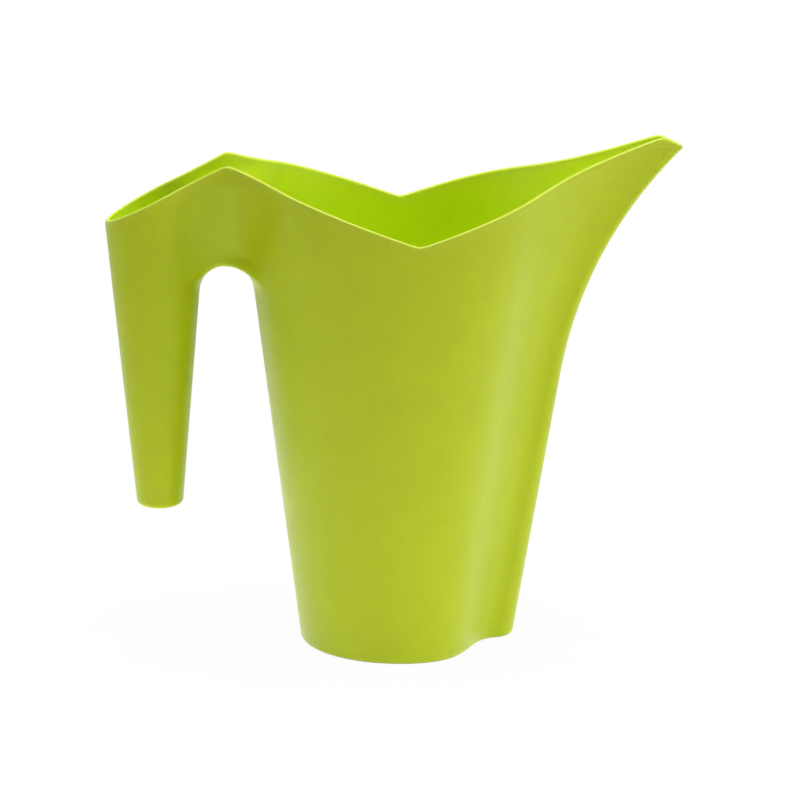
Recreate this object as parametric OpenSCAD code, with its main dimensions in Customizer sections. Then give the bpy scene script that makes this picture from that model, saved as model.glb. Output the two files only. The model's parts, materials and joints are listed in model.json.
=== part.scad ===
// Stackable watering can moulded in one piece: a round tapered vessel whose front grows
// into a pouring beak, and a hollow tapered grip that hangs from an open bridge.
// Axes: +X towards the beak, +Z up. Origin: centre of the round base, on the ground.

/* [Vessel] */
// Radius of the round base
base_r = 42; // [40:0.5:44]
// Draft of the round wall, in degrees
wall_draft = 7; // [6.5:0.25:7.5]
// Thickness of the moulded wall
wall = 2; // [1.6:0.1:2.2]
// Thickness of the floor
floor_t = 2.2; // [1.8:0.1:3]
// Rounding between the wall and the ground
foot_round = 1.5; // [1:0.1:1.8]
// Width of the flat ring that the can stands on
foot_ring_w = 3; // [2:0.5:4]
// How far the floor is raised inside that ring
foot_recess = 1.2; // [0.6:0.1:2]
// Rounding between the wall and the floor, inside
inner_fillet = 3; // [2:0.5:4]
// Radius of the moulding gate's mark under the floor
gate_r = 4; // [3:0.5:6]

/* [Keel and beak] */
// Where the keel stands at the ground, from the axis
keel_foot = 46.9; // [46:0.1:48]
// Draft of the straight lower keel, in degrees
keel_draft = 9.75; // [9:0.25:10.5]
// Height at which the keel starts to curve forwards
keel_bend_z = 112; // [108:1:116]
// Radius of the keel's forward curve
keel_bend_r = 170; // [166:1:180]
// Angle between the keel's centre plane and each flank, in degrees
nose_angle = 10.5; // [8:0.5:13]
// Radius of the keel's round edge at the ground
nose_r_low = 8.7; // [7:0.1:9]
// Radius of the keel's round edge at the beak
nose_r_high = 3.1; // [3:0.1:4]
// How long the flank follows the round wall: share of its radius at the ground
flank_hold_low = 0.645; // [0.6:0.005:0.7]
// How long the flank follows the round wall: share of its radius at the beak
flank_hold_high = 0.945; // [0.9:0.005:1]
// How long the flank follows the keel at the ground
keel_hold = 9.4; // [8:0.1:11]
// Growth of that length with each millimetre that the keel stands forward
keel_hold_grow = 1.19; // [1.1:0.01:1.25]

/* [Rim] */
// Crest of the rim over the bridge, X
crest_x = -70.7; // [-73:0.1:-69]
// Crest of the rim over the bridge, height
crest_z = 202.8; // [201:0.2:204]
// Notch at the rim's lowest point, X
notch_x = 3.6; // [0:0.1:6]
// Notch at the rim's lowest point, height
notch_z = 176.1; // [174:0.1:178]
// Top corner of the beak, X
beak_x = 106.2; // [105:0.1:107]
// Top corner of the beak, height
beak_z = 210.4; // [209:0.1:211]
// Fall of the rim from the crest to the grip's outer end, in degrees
grip_rim_fall = 26.8; // [26:0.1:28]
// Fall of the rim from the beak's corner to its tip, in degrees
tip_rim_fall = 25; // [23:0.5:28]
// Rounding of the rim's corners, seen from the side
rim_corner = 0.8; // [0.4:0.2:2]

/* [Grip] */
// Centre line of the grip, X
grip_x = -100.1; // [-100.5:0.1:-99.8]
// Height of the grip's closed lower end
grip_z = 59; // [56:0.5:62]
// Half length of the grip's oval at its lower end, along X
grip_a = 9.5; // [9:0.1:10.5]
// Half width of the grip's oval at its lower end, along Y
grip_b = 11.4; // [11:0.1:12.5]
// Draft of the grip along X, in degrees
grip_draft_x = 5.2; // [5:0.1:5.4]
// Draft of the grip along Y, in degrees
grip_draft_y = 3.65; // [3.4:0.05:3.8]
// Rounding of the grip's lower edge
grip_round = 2; // [1:0.25:2]
// Thickness of the grip's closed lower end
grip_cap_t = 2.4; // [2.1:0.1:3]

/* [Bridge] */
// Height of the finger gap's crown
arch_z = 159.2; // [158:0.2:161]
// Height of the finger gap's rounded upper corners
arch_r = 10.4; // [9.6:0.2:11.2]
// Rounding of the bridge's lower edges
edge_r = 7; // [6:0.5:7.5]
// Where the bridge's side leaves the grip's oval, at the rim: degrees round it from +X
grip_leave = 73; // [70:1:76]
// The same beside the finger gap
grip_leave_low = 50; // [46:1:56]
// Where the bridge's side meets the vessel, at the rim: degrees round it from +X
vessel_meet = 134; // [132:1:136]
// The same beside the finger gap
vessel_meet_low = 155.5; // [152:0.5:157]
// How long the side follows the grip's oval
grip_hold = 32; // [28:1:34]
// How long the side follows the round vessel
vessel_hold = 11; // [9:1:14]

/* [Fineness] */
// Steps along each half of the round wall's side
side_steps = 14; // [8:1:16]
// Steps along each flank
flank_steps = 24; // [12:1:26]
// Steps round each half of the keel's edge
tip_steps = 4; // [3:1:5]
// Steps round each half of the grip's back
grip_steps = 12; // [8:1:14]

/* [Hidden] */
plastic = [0.66, 0.74, 0.14];

floor_z = foot_recess + floor_t;
rim_r = wall / 2;
notch_angle = acos(notch_x / (base_r + notch_z * tan(wall_draft)));
// Height at which the finger gap's upper corners begin
gap_corner_z = arch_z - arch_r;

// Length of a curve's handle that makes it follow a quarter circle of radius 1
quarter = 0.5523;
// Share of the gap that each upper corner takes: at the middle and at the sides
reach_grip = [0.47, 0.26];
reach_vessel = [0.28, 0.66];

// Height from which the bridge's sides leave and meet at the rim's angles
meet_z = 195;

// Steps of the facets
round_steps = 3;
rim_steps = 4;
edge_steps = 5;
flat_steps = 4;
across = edge_steps + flat_steps;
arc_steps = 6;
mid_steps = 2;
along = 2 * arc_steps + mid_steps;
tip_flank_steps = 2;
spout_steps = 8;
climb_steps = 5;
// Levels at which the lower wall gets a ring of points
wall_levels = [38, 75, keel_bend_z, 125, 138];

// ---- small helpers ----
function lerp(a, b, t) = a + (b - a) * t;
function unit(v) = v / norm(v);
function reversed(list) = [for (i = [len(list) - 1:-1:0]) list[i]];
function polar(r, a) = [r * cos(a), r * sin(a)];
function at_height(p, z) = [p.x, p.y, z];
function mirrored(points) = [for (p = points) [p.x, -p.y, p.z]];
// Direction into the plastic, for somebody who walks clockwise round an outline
function inward(t) = [t.y, -t.x];
function bezier(p0, p1, p2, p3, t) =
    let (s = 1 - t)
    s * s * s * p0 + 3 * s * s * t * p1 + 3 * s * t * t * p2 + t * t * t * p3;
function bezier_tangent(p0, p1, p2, p3, t) =
    let (s = 1 - t)
    s * s * (p1 - p0) + 2 * s * t * (p2 - p1) + t * t * (p3 - p2);

// ---- rim: straight cuts seen from the side, joined by rounded corners ----
function soft_min(a, b) = (a + b - norm([a - b, rim_corner])) / 2;
function soft_max(a, b) = (a + b + norm([a - b, rim_corner])) / 2;
function line_z(x, x0, z0, slope) = z0 + slope * (x - x0);
function rim_z(x) =
    let (
        back = line_z(x, notch_x, notch_z, (crest_z - notch_z) / (crest_x - notch_x)),
        front = line_z(x, notch_x, notch_z, (beak_z - notch_z) / (beak_x - notch_x)),
        over_grip = line_z(x, crest_x, crest_z, tan(grip_rim_fall)),
        over_tip = line_z(x, beak_x, beak_z, -tan(tip_rim_fall))
    )
    soft_min(soft_min(soft_max(back, front), over_grip), over_tip);
// Height at which an outline point, which moves with the height, meets the cut
function meet_rim(xy, z = 190, turns = 14) =
    turns == 0 ? z : meet_rim(xy, rim_z(xy(z).x) - rim_r, turns - 1);

// ---- vessel outline ----
// s runs from the back (0) past the bridge's side (1) and the notch (2) along the flank
// to the keel's round edge (3) and the centre plane in front (4)
function vessel_r(z) = base_r + z * tan(wall_draft);
// How far z is on the way from the finger gap's corners to the rim
function up_the_bridge(z) =
    min(max((z - gap_corner_z) / (meet_z - gap_corner_z), 0), 1);
function meet_angle(z) = lerp(vessel_meet_low, vessel_meet, up_the_bridge(z));
function leave_angle(z) = lerp(grip_leave_low, grip_leave, up_the_bridge(z));
function keel_x(z) =
    let (
        foot = keel_foot + min(z, keel_bend_z) * tan(keel_draft),
        rise = sin(keel_draft) + max(z - keel_bend_z, 0) / keel_bend_r
    )
    foot + keel_bend_r * (cos(keel_draft) - sqrt(1 - rise * rise));
function nose_r(z) = lerp(nose_r_low, nose_r_high, z / beak_z);
// Corners of the flank's curve: off the round wall at the notch, on to the keel's edge
function flank(z) =
    let (
        r = vessel_r(z),
        from = polar(r, notch_angle),
        to = [keel_x(z) - nose_r(z), 0] + polar(nose_r(z), 90 - nose_angle),
        hold_wall = r * lerp(flank_hold_low, flank_hold_high, z / beak_z),
        hold_keel = keel_hold + keel_hold_grow * (keel_x(z) - r)
    )
    [
        from,
        from + hold_wall * [sin(notch_angle), -cos(notch_angle)],
        to - hold_keel * [cos(nose_angle), -sin(nose_angle)],
        to
    ];
// Each edge function gives a point of the outline and the direction into the plastic
function round_edge(z, a) = [polar(vessel_r(z), a), -polar(1, a)];
function flank_edge(z, t) =
    let (f = flank(z))
    [
        bezier(f[0], f[1], f[2], f[3], t),
        unit(inward(bezier_tangent(f[0], f[1], f[2], f[3], t)))
    ];
function nose_edge(z, a) =
    [[keel_x(z) - nose_r(z), 0] + polar(nose_r(z), a), -polar(1, a)];
function vessel_edge(z, s) =
    s <= 1 ? round_edge(z, lerp(180, meet_angle(z), s)) :
    s <= 2 ? round_edge(z, lerp(meet_angle(z), notch_angle, s - 1)) :
    s <= 3 ? flank_edge(z, s - 2) :
    nose_edge(z, lerp(90 - nose_angle, 0, s - 3));
// A level cut through a wall that leans outwards is wider than the wall is thick
function lean(z, s, edge) =
    s <= 2 ? 1 :
    let (out = (edge[0] - vessel_edge(z + 1, s)[0]) * edge[1])
    cos(wall_draft) * norm([1, out]);
function vessel_xy(z, s, depth) =
    let (edge = vessel_edge(z, s))
    depth == 0 ? edge[0] : edge[0] + depth * lean(z, s, edge) * edge[1];

// Where a curve given by a function of 0 to 1 reaches x, which must grow along it
function find_x(curve, x, low = 0, high = 1, turns = 20) =
    let (mid = (low + high) / 2)
    turns == 0 ? mid :
    curve(mid).x < x ? find_x(curve, x, mid, high, turns - 1) :
    find_x(curve, x, low, mid, turns - 1);
beak_t = find_x(function (t) flank_edge(beak_z, t)[0], beak_x);
flank_places = concat(
    [for (i = [1:flank_steps]) 2 + beak_t * i / flank_steps],
    [for (i = [1:tip_flank_steps]) 2 + lerp(beak_t, 1, i / tip_flank_steps)]
);

// ---- grip's oval and the bridge's side ----
function grip_xy(z, a, depth) =
    let (
        half_x = grip_a + (z - grip_z) * tan(grip_draft_x),
        half_y = grip_b + (z - grip_z) * tan(grip_draft_y)
    )
    [grip_x + half_x * cos(a), half_y * sin(a)] - depth * unit([half_y * cos(a), half_x * sin(a)]);
// v runs from the gap's middle (0) past the bridge's side (1) to the grip's back (2)
function grip_turn_xy(z, v, depth) =
    let (leave = leave_angle(z))
    grip_xy(z, v <= 1 ? v * leave : lerp(leave, 180, v - 1), depth);
// t runs from the grip's oval (0) to the round vessel (1)
function side_xy(z, t, depth) =
    let (
        leave = leave_angle(z),
        meet = meet_angle(z),
        from = grip_xy(z, leave, 0),
        to = polar(vessel_r(z), meet),
        p1 = from - grip_hold * inward(grip_xy(z, leave, 1) - from),
        p2 = to - vessel_hold * [sin(meet), -cos(meet)]
    )
    bezier(from, p1, p2, to, t) + depth * unit(inward(bezier_tangent(from, p1, p2, to, t)));

crest_t = find_x(function (t) side_xy(crest_z, t, 0), crest_x);
// Places of the trough's sections along the rim, one of them at the crest
function rim_t(i) =
    let (half = along / 2)
    i <= half ? crest_t * i / half : lerp(crest_t, 1, i / half - 1);

// ---- underside of the bridge, which is the finger gap's crown ----
// w runs from the grip (0) to the vessel (1), v from the centre plane (0) to the side (1)
function gap_xy(z, w, v, depth) =
    let (
        level = lerp(grip_turn_xy(z, v, depth), vessel_xy(z, v, depth), w),
        bulge = side_xy(z, w, depth) - lerp(side_xy(z, 0, depth), side_xy(z, 1, depth), w)
    )
    level + v * v * bulge;
function arch_w(i, v) =
    let (
        g = lerp(reach_grip[0], reach_grip[1], v),
        h = lerp(reach_vessel[0], reach_vessel[1], v)
    )
    i <= arc_steps ? g * bezier(0, 0, 1 - quarter, 1, i / arc_steps) :
    i >= along - arc_steps ? 1 - h * bezier(0, 0, 1 - quarter, 1, (along - i) / arc_steps) :
    lerp(g, 1 - h, (i - arc_steps) / mid_steps);
function arch_rise(i) =
    let (n = min(i, along - i, arc_steps))
    bezier(0, quarter, 1, 1, n / arc_steps);
// Place across the gap at step k: the side at 0, the centre plane at the last step
function across_v(i, k, depth) =
    let (
        half_width = norm(gap_xy(arch_z, arch_w(i, 1), 1, depth) - gap_xy(arch_z, arch_w(i, 0), 0, depth)),
        edge = (edge_r - depth) / half_width
    )
    k <= edge_steps ? 1 - edge * (1 - cos(90 * k / edge_steps)) :
    (1 - edge) * (across - k) / flat_steps;
function across_rise(k, depth) =
    (edge_r - depth) * (1 - sin(90 * min(k / edge_steps, 1)));
function gap_point(i, k, depth) =
    let (
        v = across_v(i, k, depth),
        foot = gap_corner_z + across_rise(k, depth),
        z = lerp(foot, foot + arch_r + depth, arch_rise(i))
    )
    at_height(gap_xy(z, arch_w(i, v), v, depth), z);

// ---- closed sections through the wall ----
function climb(xy, z0, z1, steps) =
    [for (i = [0:steps]) let (z = lerp(z0, z1, i / steps)) at_height(xy(z), z)];
// The same for a point that also moves along the wall on its way up
function climb_along(xy, z0, z1, t0, t1, steps) =
    [for (i = [0:steps])
        let (z = lerp(z0, z1, i / steps))
        at_height(xy(z, lerp(t0, t1, i / steps)), z)];
function rim_arc(a, b) =
    [for (i = [1:rim_steps])
        let (t = 180 * i / (rim_steps + 1))
        (a + b) / 2 + (a - b) / 2 * cos(t) + [0, 0, rim_r * sin(t)]];
// A wall from the joint line up to the rim and down again
function upper_section(outer, inner, steps) =
    let (
        foot = gap_corner_z + edge_r,
        a = climb(outer, foot, meet_rim(outer), steps),
        b = climb(inner, foot - wall, meet_rim(inner), steps)
    )
    concat(a, rim_arc(a[steps], b[steps]), reversed(b));
function vessel_section(s) =
    upper_section(
        function (z) vessel_xy(z, s, 0),
        function (z) vessel_xy(z, s, wall),
        s > 2 ? spout_steps : climb_steps
    );
function mouth_section(v) =
    upper_section(
        function (z) grip_turn_xy(z, v, 0),
        function (z) grip_turn_xy(z, v, wall),
        climb_steps
    );
// Half of the trough's skin, from the centre plane up to the rim
function bridge_half(i, depth) =
    let (
        side = function (z, t) side_xy(z, t, depth),
        foot = gap_point(i, 0, depth).z,
        top = meet_rim(function (z) side_xy(z, rim_t(i), depth))
    )
    concat(
        [for (k = [across:-1:1]) gap_point(i, k, depth)],
        climb_along(side, foot, top, arch_w(i, 1), rim_t(i), climb_steps)
    );
function bridge_skin(i, depth) =
    let (half = bridge_half(i, depth))
    concat(reversed(mirrored(half)), [for (j = [1:len(half) - 1]) half[j]]);
function bridge_section(i) =
    let (
        a = bridge_skin(i, 0),
        b = bridge_skin(i, wall),
        left = rim_arc(a[len(a) - 1], b[len(b) - 1]),
        right = rim_arc(b[0], a[0])
    )
    concat(
        [for (j = [rim_steps / 2:rim_steps - 1]) right[j]], a, left,
        reversed(b), [for (j = [0:rim_steps / 2 - 1]) right[j]]
    );

// ---- places round the closed lower walls ----
// Each place: outer and inner position round the outline, outer and inner top
function gap_place(i, k) = [
    across_v(i, k, 0), across_v(i, k, wall),
    gap_corner_z + across_rise(k, 0), gap_corner_z + across_rise(k, wall)
];
function side_place(s) =
    let (top = gap_corner_z + edge_r)
    [s, s, top, top - wall];
vessel_places = concat(
    [for (k = [across:-1:0]) gap_place(along, k)],
    [for (i = [1:side_steps]) side_place(1 + i / side_steps)],
    [for (s = flank_places) side_place(s)],
    [for (i = [1:tip_steps]) side_place(3 + i / tip_steps)]
);
grip_places = concat(
    [for (i = [0:grip_steps - 1]) side_place(2 - i / grip_steps)],
    [for (k = [0:across]) gap_place(0, k)]
);
// Goes once round: along one side, and back along the other
function both_sides(half) =
    concat(half, [for (i = [len(half) - 2:-1:1]) mirrored(half[i])]);
function foot_section(p) =
    let (
        outer = function (z, depth) vessel_xy(z, p[0], depth),
        inner = function (z, depth) vessel_xy(z, p[1], depth),
        levels = wall_levels
    )
    concat(
        [for (i = [0:round_steps])
            let (t = 90 * i / round_steps, z = foot_round * (1 - cos(t)))
            at_height(outer(z, foot_round * (1 - sin(t))), z)],
        [for (z = levels) at_height(outer(z, 0), z)],
        [at_height(outer(p[2], 0), p[2]), at_height(inner(p[3], wall), p[3])],
        [for (z = reversed(levels)) at_height(inner(z, wall), z)],
        [for (i = [0:round_steps])
            let (t = 90 * i / round_steps, z = floor_z + inner_fillet * (1 - sin(t)))
            at_height(inner(z, wall + inner_fillet * (1 - cos(t))), z)],
        [at_height(outer(0, foot_round), floor_z)]
    );
function grip_section(p) =
    let (
        foot = grip_z + grip_cap_t,
        outer = function (z) grip_turn_xy(z, p[0], 0),
        inner = function (z) grip_turn_xy(z, p[1], wall)
    )
    concat(climb(outer, foot, p[2], 2), reversed(climb(inner, foot, p[3], 2)));
function cap_ring(z, depth) =
    let (half = [for (p = grip_places) at_height(grip_turn_xy(z, p[0], depth), z)])
    concat(half, [for (i = [len(half) - 2:-1:1]) [half[i].x, -half[i].y, z]]);

// ---- solids from rows of closed sections ----
// Point j of a section faces point m - 1 - j across the wall, which is how the ends close
module wall_solid(sections, ring = false) {
    n = len(sections);
    m = len(sections[0]);
    far = (n - 1) * m;
    sides = [for (i = [0:ring ? n - 1 : n - 2]) for (j = [0:m - 1])
        let (
            a = i * m + j,
            b = i * m + (j + 1) % m,
            c = (i + 1) % n * m + j,
            d = (i + 1) % n * m + (j + 1) % m
        )
        each (j < m - 1 ? [[a, c, b], [b, c, d]] : [[a, c, d], [a, d, b]])];
    ends = ring ? [] : [for (a = [0:m / 2 - 2])
        let (b = a + 1, c = m - 1 - a, d = m - 2 - a)
        each [[a, b, d], [a, d, c], [far + a, far + c, far + b], [far + b, far + c, far + d]]];
    polyhedron([for (s = sections) each s], concat(sides, ends));
}
// Solid from level rings, closed by its first and its last ring
module ring_solid(rings) {
    n = len(rings);
    m = len(rings[0]);
    sides = [for (i = [0:n - 2]) for (j = [0:m - 1])
        let (a = i * m + j, b = i * m + (j + 1) % m)
        each [[a, b, a + m], [b, b + m, a + m]]];
    bottom = [for (j = [m - 1:-1:0]) j];
    top = [for (j = [0:m - 1]) (n - 1) * m + j];
    polyhedron([for (r = rings) each r], concat(sides, [bottom, top]));
}

// ---- pieces ----
function foot_outline(depth) =
    let (half = [for (p = vessel_places) vessel_xy(0, p[0], depth)])
    concat(half, [for (i = [len(half) - 2:-1:1]) [half[i].x, -half[i].y]]);

// Floor of the vessel, on the ring that it stands on
module base() {
    color(plastic) {
        difference() {
            linear_extrude(floor_z)
                polygon(foot_outline(foot_round));
            translate([0, 0, -1])
                linear_extrude(1 + foot_recess)
                    polygon(foot_outline(foot_round + foot_ring_w));
        }
        translate([0, 0, foot_recess / 2])
            cylinder(r = gate_r, h = foot_recess, $fn = 32);
    }
}

// Closed wall from the floor up to the finger gap's crown
module vessel_wall() {
    color(plastic)
        wall_solid(both_sides([for (p = vessel_places) foot_section(p)]), ring = true);
}

// Wall from the bridge to the notch
function shoulder_sections() = [for (i = [0:side_steps]) vessel_section(1 + i / side_steps)];
module shoulder_left() {
    color(plastic)
        wall_solid(shoulder_sections());
}
module shoulder_right() {
    color(plastic)
        wall_solid([for (s = reversed(shoulder_sections())) mirrored(s)]);
}

// Flanks and beak, in front of the notch
module spout() {
    // A hair past the notch, so that this section has the spout's number of steps
    first = 2.000001;
    half = concat(
        [for (s = concat([first], flank_places)) vessel_section(s)],
        [for (i = [1:tip_steps]) vessel_section(3 + i / tip_steps)]
    );
    color(plastic)
        wall_solid(concat(half, [for (i = [len(half) - 2:-1:0]) mirrored(half[i])]));
}

// Open trough between the grip and the vessel
module bridge() {
    color(plastic)
        wall_solid([for (i = [0:along]) bridge_section(i)]);
}

// Open upper end of the grip, round its back
module grip_mouth() {
    half = [for (i = [0:grip_steps]) mouth_section(2 - i / grip_steps)];
    color(plastic)
        wall_solid(concat([for (i = [grip_steps:-1:1]) mirrored(half[i])], half));
}

// Hollow tapered grip
module grip() {
    color(plastic)
        wall_solid(both_sides([for (p = grip_places) grip_section(p)]), ring = true);
}

// Closed lower end of the grip
module grip_cap() {
    lower = [for (i = [0:round_steps])
        let (t = 90 * i / round_steps)
        cap_ring(grip_z + grip_round * (1 - cos(t)), grip_round * (1 - sin(t)))];
    color(plastic)
        ring_solid(concat(lower, [cap_ring(grip_z + grip_cap_t, 0)]));
}

base();
vessel_wall();
shoulder_left();
shoulder_right();
spout();
bridge();
grip_mouth();
grip();
grip_cap();
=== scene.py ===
"""Finished surfaces of a stackable watering can, built round its packed CAD frame."""

import json
import math
from types import SimpleNamespace

import bmesh
import bpy
import numpy as np
from bpy.props import FloatProperty, FloatVectorProperty, PointerProperty
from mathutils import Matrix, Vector
from mathutils.kdtree import KDTree

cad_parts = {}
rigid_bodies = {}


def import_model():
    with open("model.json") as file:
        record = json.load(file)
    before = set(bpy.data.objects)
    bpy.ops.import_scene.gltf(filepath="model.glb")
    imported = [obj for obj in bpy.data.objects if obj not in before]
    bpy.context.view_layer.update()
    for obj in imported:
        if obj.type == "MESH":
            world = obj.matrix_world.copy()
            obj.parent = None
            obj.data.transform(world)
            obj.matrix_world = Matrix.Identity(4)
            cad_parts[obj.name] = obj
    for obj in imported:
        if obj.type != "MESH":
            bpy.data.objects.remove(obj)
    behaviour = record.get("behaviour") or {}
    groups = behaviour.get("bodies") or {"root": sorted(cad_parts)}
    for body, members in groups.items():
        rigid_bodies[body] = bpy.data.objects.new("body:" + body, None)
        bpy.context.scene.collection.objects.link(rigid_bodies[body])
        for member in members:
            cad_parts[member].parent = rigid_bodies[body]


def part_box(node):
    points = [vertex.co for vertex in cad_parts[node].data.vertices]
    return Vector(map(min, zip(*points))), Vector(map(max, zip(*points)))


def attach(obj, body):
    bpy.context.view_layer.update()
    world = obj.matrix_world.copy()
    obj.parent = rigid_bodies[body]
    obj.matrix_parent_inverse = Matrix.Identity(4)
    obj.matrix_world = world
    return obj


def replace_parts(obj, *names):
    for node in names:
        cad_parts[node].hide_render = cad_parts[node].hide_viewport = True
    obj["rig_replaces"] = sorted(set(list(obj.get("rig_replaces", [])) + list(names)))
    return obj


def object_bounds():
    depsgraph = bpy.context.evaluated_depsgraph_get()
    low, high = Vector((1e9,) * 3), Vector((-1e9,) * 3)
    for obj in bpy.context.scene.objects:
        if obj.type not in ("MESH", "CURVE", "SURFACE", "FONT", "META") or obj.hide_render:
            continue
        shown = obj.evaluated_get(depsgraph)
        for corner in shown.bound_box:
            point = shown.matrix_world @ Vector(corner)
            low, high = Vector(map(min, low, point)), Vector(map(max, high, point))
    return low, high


bl_info = {
    "name": "Watering can",
    "version": (1, 0, 0),
    "blender": (4, 5, 0),
    "location": "View3D > Sidebar > Watering can",
    "description": "Moulded walls, plastic finish and studio of a stackable watering can",
    "category": "Add Mesh",
}

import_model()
CAD_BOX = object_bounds()
MM = 0.001
FOOT_ROUND_MM = 1.5
# Points closer than this are one point
SAME_PLACE = 0.001 * MM
# Rounds of a search, enough to find a place much closer than that
SEARCH_STEPS = 40
QUARTER_TURN = math.pi / 2
# Length of a curve's handle that makes it follow a quarter circle of radius 1
QUARTER = 0.5523

# Steps of the meshes: across the bridge, round the vessel and the grip, along and up the walls
EDGE, FLAT = 10, 12
SIDE, FLANK, TIP_FLANK, TIP = 40, 60, 6, 10
GRIP_BACK = 30
GRIP_ROWS = 21
ARC, MID = 16, 6
FOOT_ROWS, WALL_ROWS, FILLET_ROWS, UPPER_ROWS, RIM_ROWS = 6, 40, 6, 24, 8
# Share of the finger gap that each upper corner takes: at the middle and at the sides
GRIP_REACH = (0.47, 0.26)
VESSEL_REACH = (0.28, 0.66)
# Share of the lower wall's rows that are level, and how far below the gap's corners they end
LEVEL_ROWS, LEVEL_BELOW_GAP = 0.8, 3 * MM
# How far below the rim its painted highlight fades, and the cut of the small chamfers underneath
RIM_FADE, CHAMFER = 1.5 * MM, 0.3 * MM
ACROSS = EDGE + FLAT
ALONG = 2 * ARC + MID
NOTCH_COLUMN = ACROSS + SIDE
BEAK_COLUMN = NOTCH_COLUMN + FLANK + TIP_FLANK + TIP


# ---- sizes and colours that a user would change ----
def length(name, millimetres, description):
    """A size in metres, from its default in millimetres."""
    return FloatProperty(
        name=name, description=description, default=millimetres * MM,
        subtype="DISTANCE", precision=5
    )


def angle(name, degrees, description):
    """An angle in radians, from its default in degrees."""
    return FloatProperty(
        name=name, description=description, default=math.radians(degrees), subtype="ANGLE"
    )


def share(name, default, description):
    """A plain number."""
    return FloatProperty(name=name, description=description, default=default, precision=3)


def in_mm(metres):
    return metres / MM


class VesselSizes(bpy.types.PropertyGroup):
    """The round drafted vessel"""

    base_r: length(
        "Base radius", in_mm(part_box("base")[1].y) + FOOT_ROUND_MM, "Radius of the round base"
    )
    wall_draft: angle("Wall draft", 7, "Draft of the round wall")
    wall: length("Wall", 2, "Thickness of the moulded wall")
    floor_z: length("Floor", in_mm(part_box("base")[1].z), "Height of the floor's upper face")
    foot_round: length("Foot rounding", FOOT_ROUND_MM, "Rounding between the wall and the ground")
    inner_fillet: length("Inner fillet", 3, "Rounding between the wall and the floor, inside")
    foot_ring_w: length("Foot ring", 3, "Width of the flat ring that the can stands on")
    foot_recess: length("Recess", 1.2, "How far the floor is raised inside that ring")
    gate_r: length("Gate mark", 4, "Radius of the moulding gate's mark under the floor")


class KeelSizes(bpy.types.PropertyGroup):
    """The keel in front, its flanks and the beak"""

    keel_foot: length("Keel foot", 46.9, "Where the keel stands at the ground, from the axis")
    keel_draft: angle("Keel draft", 9.75, "Draft of the straight lower keel")
    keel_bend_z: length("Bend height", 112, "Height at which the keel starts to curve forwards")
    keel_bend_r: length("Bend radius", 170, "Radius of the keel's forward curve")
    nose_angle: angle("Nose angle", 10.5, "Angle between the keel's centre plane and each flank")
    nose_r_low: length("Edge radius low", 8.7, "Radius of the keel's edge at the ground")
    nose_r_high: length("Edge radius high", 3.1, "Radius of the keel's edge at the beak")
    flank_hold_low: share("Flank hold low", 0.645, "How far the flank keeps to the wall, low")
    flank_hold_high: share("Flank hold high", 0.945, "How far the flank keeps to the wall, high")
    keel_hold: length("Keel hold", 9.4, "How long the flank follows the keel, at the ground")
    keel_hold_grow: share("Keel hold growth", 1.19, "Growth of that length as the keel stands out")


class RimSizes(bpy.types.PropertyGroup):
    """The rim's straight cuts, seen from the side"""

    crest_x: length("Crest X", -70.7, "Crest of the rim over the bridge")
    crest_z: length("Crest height", 202.8, "Crest of the rim over the bridge")
    notch_x: length("Notch X", 3.6, "Notch at the rim's lowest point")
    notch_z: length("Notch height", 176.1, "Notch at the rim's lowest point")
    beak_x: length("Beak corner X", 106.2, "Top corner of the beak")
    beak_z: length("Beak corner height", 210.4, "Top corner of the beak")
    grip_rim_fall: angle("Fall over the grip", 26.8, "Fall of the rim from the crest to the grip")
    tip_rim_fall: angle("Fall at the tip", 25, "Fall of the rim from the beak's corner to its tip")
    rim_corner: length("Corner rounding", 0.8, "Rounding of the rim's corners")


class GripSizes(bpy.types.PropertyGroup):
    """The hollow tapered grip"""

    grip_x: length("Centre X", -100.1, "Centre line of the grip")
    grip_z: length("Lower end", in_mm(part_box("grip_cap")[0].z), "Height of the grip's closed end")
    grip_a: length("Half length", 9.5, "Half length of the oval at its lower end")
    grip_b: length("Half width", 11.4, "Half width of the oval at its lower end")
    grip_draft_x: angle("Draft X", 5.2, "Draft of the grip along X")
    grip_draft_y: angle("Draft Y", 3.65, "Draft of the grip along Y")
    grip_round: length("End rounding", 2, "Rounding of the grip's lower edge")
    grip_joint: length("Cap", in_mm(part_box("grip_cap")[1].z), "Height where the closed end stops")


class BridgeSizes(bpy.types.PropertyGroup):
    """The open trough above the finger gap"""

    arch_z: length("Crown", 159.2, "Height of the finger gap's crown")
    arch_r: length("Corner height", 10.4, "Height of the gap's rounded upper corners")
    edge_r: length("Edge rounding", 7, "Rounding of the bridge's lower edges")
    grip_leave: angle("Leaves the grip", 73, "Where the side leaves the grip's oval, at the rim")
    grip_leave_low: angle("Leaves it below", 50, "The same beside the finger gap")
    vessel_meet: angle("Meets the vessel", 134, "Where the side meets the vessel, at the rim")
    vessel_meet_low: angle("Meets it below", 155.5, "The same beside the finger gap")
    meet_z: length("Slant", 195, "Height from which the sides leave and meet at the rim's angles")
    grip_hold: length("Grip hold", 32, "How long the side follows the grip's oval")
    vessel_hold: length("Vessel hold", 11, "How long the side follows the round vessel")


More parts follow.
